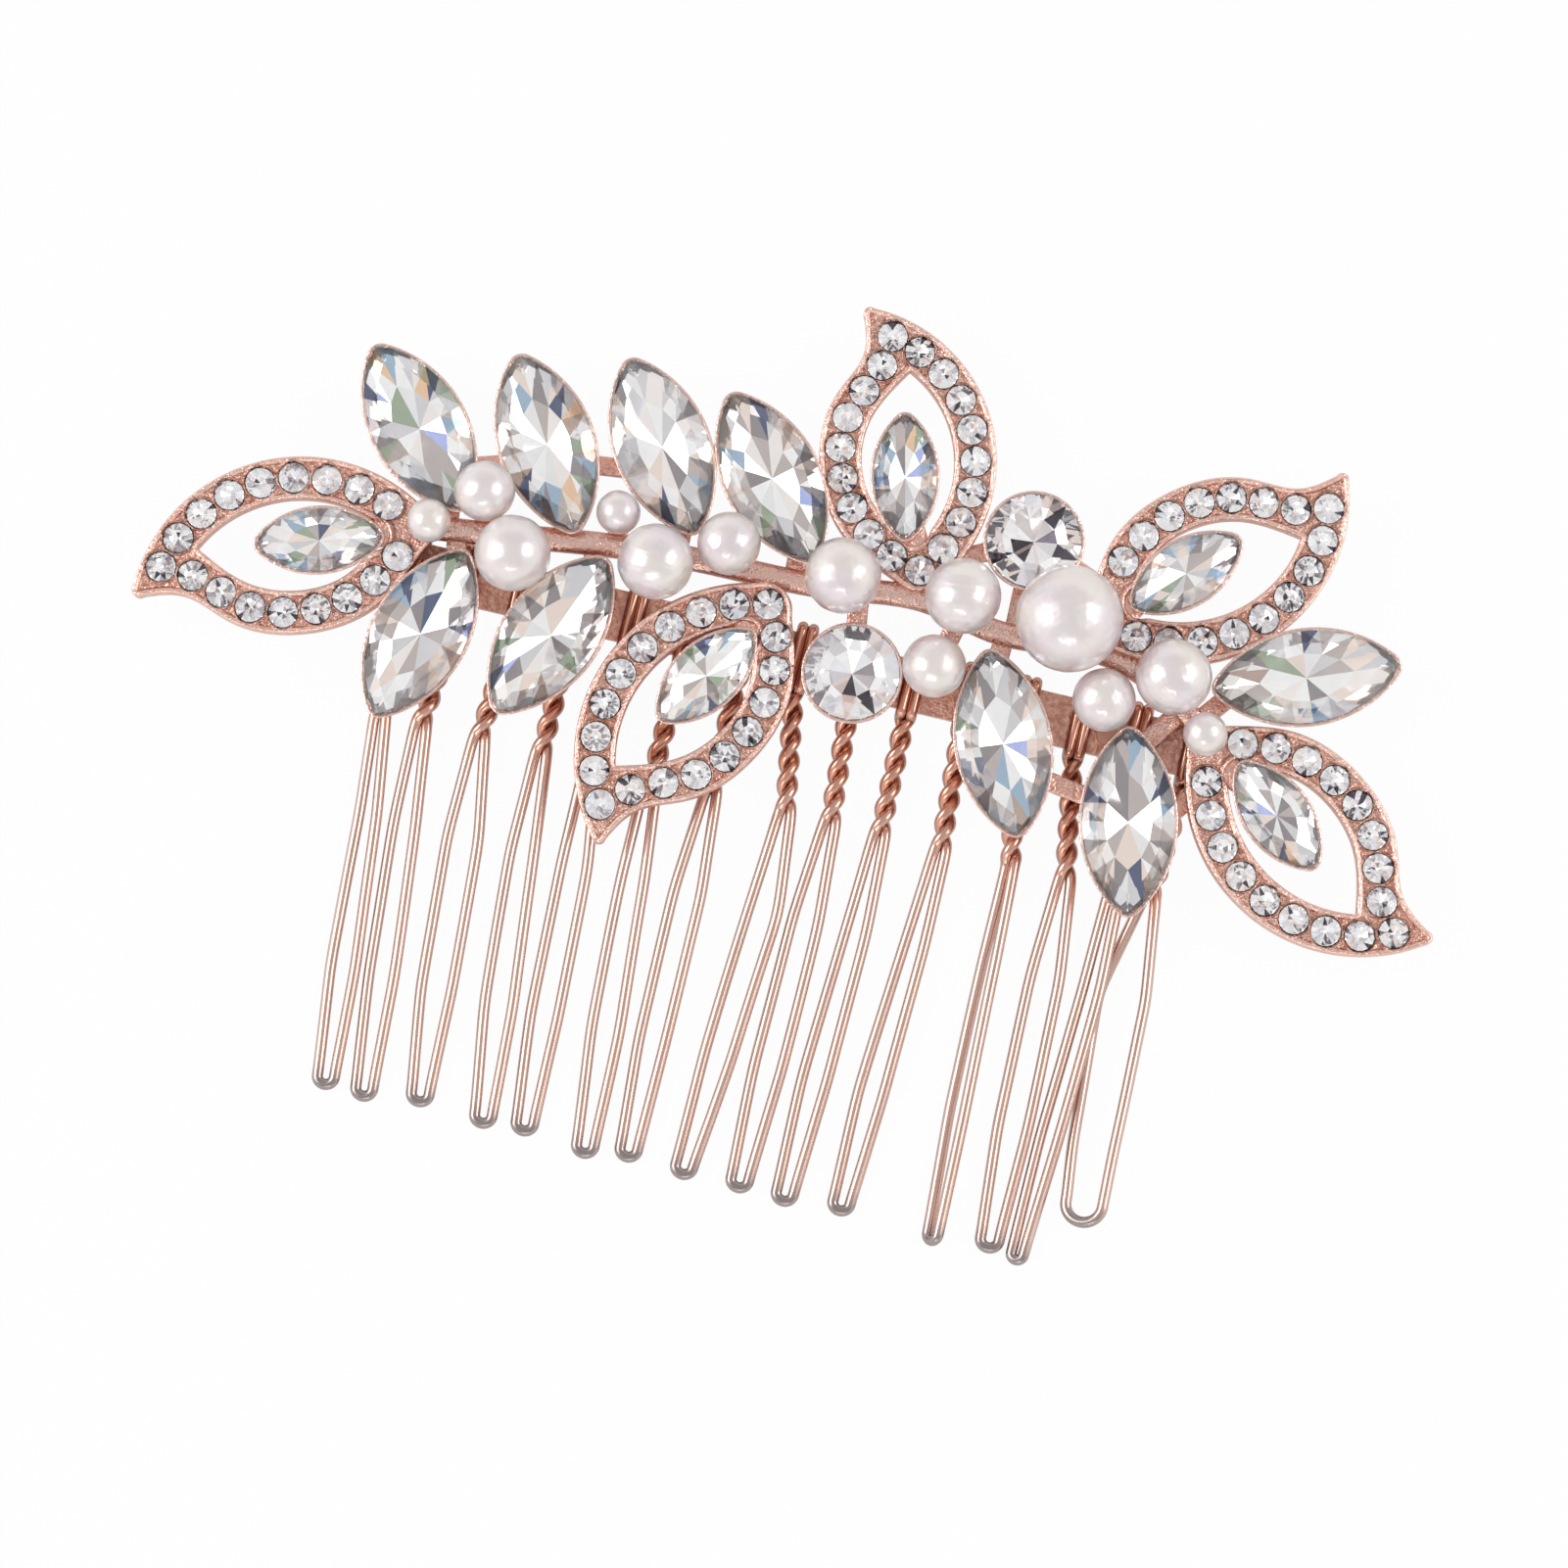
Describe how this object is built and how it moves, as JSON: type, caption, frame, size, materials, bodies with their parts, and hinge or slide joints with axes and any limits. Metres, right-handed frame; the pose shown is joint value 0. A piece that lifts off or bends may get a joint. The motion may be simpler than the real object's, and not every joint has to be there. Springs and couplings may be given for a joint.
{
  "type": "decorative hair comb",
  "caption": "Rose gold plated hair comb: wire hairpin teeth wound on a flat bar, carrying a cast branch of leaves, clear marquise and round crystals and pearls.",
  "frame": {"origin": "centre of the comb's footprint, on the surface that the back of the comb lies on", "axes": "+X along the bar, +Y from the tips of the teeth to the top of the ornament, +Z from the back of the comb to its front"},
  "size_m": [0.1046, 0.0702, 0.0137],
  "materials": {
    "cast_metal": "rose gold plated casting, slightly grainy, polished high spots",
    "comb_metal": "rose gold plated drawn wire and strip, satin",
    "solder": "plated solder, dull",
    "crystal": "clear faceted glass, silver foil on the back facets",
    "pearl": "pearl lacquer, soft sheen"
  },
  "bodies": {
    "root": {"comb_bar": "comb_metal", "branch_casting": "cast_metal", "solder_joints": "solder", "comb_tooth_01": "comb_metal", "comb_tooth_02": "comb_metal", "comb_tooth_03": "comb_metal", "comb_tooth_04": "comb_metal", "comb_tooth_05": "comb_metal", "comb_tooth_06": "comb_metal", "comb_tooth_07": "comb_metal", "comb_tooth_08": "comb_metal", "comb_tooth_09": "comb_metal", "comb_tooth_10": "comb_metal", "comb_tooth_11": "comb_metal", "comb_tooth_12": "comb_metal", "comb_tooth_13": "comb_metal", "comb_tooth_14": "comb_metal", "comb_tooth_15": "comb_metal", "leaf_frame_left": "cast_metal", "leaf_stone_left": "crystal", "pave_stones_left": "crystal", "leaf_frame_top": "cast_metal", "leaf_stone_top": "crystal", "pave_stones_top": "crystal", "leaf_frame_upper_right": "cast_metal", "leaf_stone_upper_right": "crystal", "pave_stones_upper_right": "crystal", "leaf_frame_lower_right": "cast_metal", "leaf_stone_lower_right": "crystal", "pave_stones_lower_right": "crystal", "leaf_frame_centre": "cast_metal", "leaf_stone_centre": "crystal", "pave_stones_centre": "crystal", "marquise_stone_far_left": "crystal", "marquise_stone_upper_left": "crystal", "marquise_stone_upper_centre": "crystal", "marquise_stone_upper_right": "crystal", "marquise_stone_lower_left": "crystal", "marquise_stone_lower_centre": "crystal", "marquise_stone_lower_middle": "crystal", "marquise_stone_lower_right": "crystal", "marquise_stone_far_right": "crystal", "round_stone_upper": "crystal", "round_stone_lower": "crystal", "pearl_01": "pearl", "pearl_02": "pearl", "pearl_03": "pearl", "pearl_04": "pearl", "pearl_05": "pearl", "pearl_06": "pearl", "pearl_07": "pearl", "pearl_08": "pearl", "pearl_09": "pearl", "pearl_10": "pearl", "pearl_11": "pearl", "pearl_12": "pearl", "pearl_13": "pearl"}
  },
  "joints": []
}
